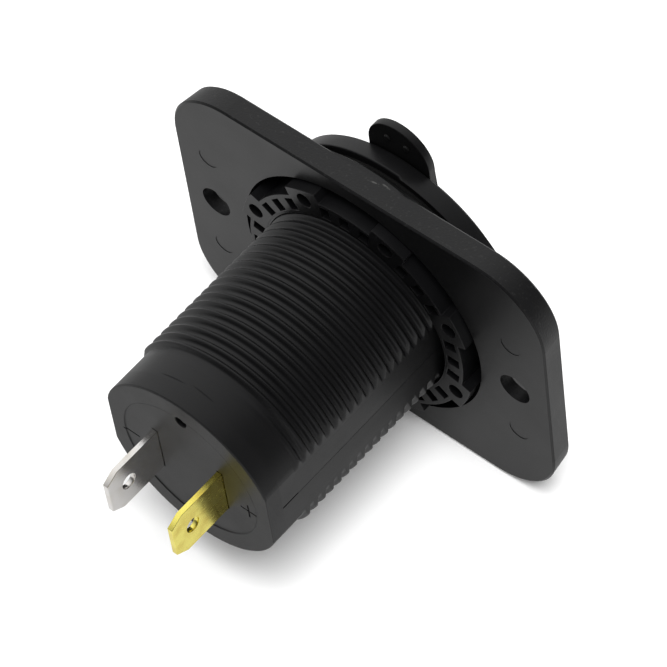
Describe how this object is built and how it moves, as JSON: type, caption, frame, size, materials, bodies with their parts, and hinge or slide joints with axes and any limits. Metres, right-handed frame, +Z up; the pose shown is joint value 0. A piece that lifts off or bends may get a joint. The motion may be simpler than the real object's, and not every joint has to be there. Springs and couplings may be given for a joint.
{
  "type": "dual usb socket panel",
  "caption": "Screw-down panel with a threaded round USB power socket, its ring nut, blade terminals and a hinged flip cap.",
  "frame": {"origin": "middle of the panel's flat back face, halfway between the two screw holes, on the socket's axis", "axes": "+Y out of the panel's back along the barrel towards the terminals, X along the panel through both screw holes, +Z up, towards the cap's lift tab"},
  "size_m": [0.0596, 0.0535, 0.045],
  "materials": {
    "panel_plastic": "fine sand-blasted grain on the sides, satin back",
    "housing_plastic": "satin black",
    "nut_plastic": "satin black",
    "gasket_rubber": "matte",
    "insert_plastic": "satin black",
    "cap_plastic": "fine grain",
    "pin_steel": "drawn wire",
    "port_steel": "nickel plated",
    "tongue_plastic": "white moulding",
    "contact_gold": "gold plated",
    "board_laminate": "green solder mask",
    "ferrite": "sintered ferrite",
    "coil_copper": "enamelled copper wire",
    "can_aluminium": "drawn can",
    "chip_epoxy": "moulded epoxy",
    "lamp_plastic": "lamp body",
    "clear_plastic": "clear moulding",
    "rear_cap_plastic": "satin black",
    "blade_nickel": "bright nickel plate",
    "blade_brass": "bright stamped brass"
  },
  "bodies": {
    "socket": {"mounting_panel": "panel_plastic", "socket_housing": "housing_plastic", "ring_nut": "nut_plastic", "flange_gasket": "gasket_rubber", "face_insert": "insert_plastic", "hinge_pin": "pin_steel", "usb_shell_upper": "port_steel", "usb_shell_lower": "port_steel", "usb_tongue_upper": "tongue_plastic", "usb_tongue_lower": "tongue_plastic", "usb_contacts_upper": "contact_gold", "usb_contacts_lower": "contact_gold", "circuit_board": "board_laminate", "inductor_core": "ferrite", "inductor_coil": "coil_copper", "input_capacitor": "can_aluminium", "output_capacitor": "can_aluminium", "converter_chip": "chip_epoxy", "schottky_diode": "chip_epoxy", "chip_resistors": "chip_epoxy", "indicator_led": "lamp_plastic", "light_pipe": "clear_plastic", "rear_cap": "rear_cap_plastic", "negative_blade": "blade_nickel", "positive_blade": "blade_brass"},
    "cap": {"flip_cap": "cap_plastic"}
  },
  "joints": [
    {"name": "cap_hinge", "type": "hinge", "parent": "socket", "child": "cap", "pos_m": [0, -0.01, -0.0202], "axis": [1, 0, 0], "range_deg": [0, 165]}
  ]
}
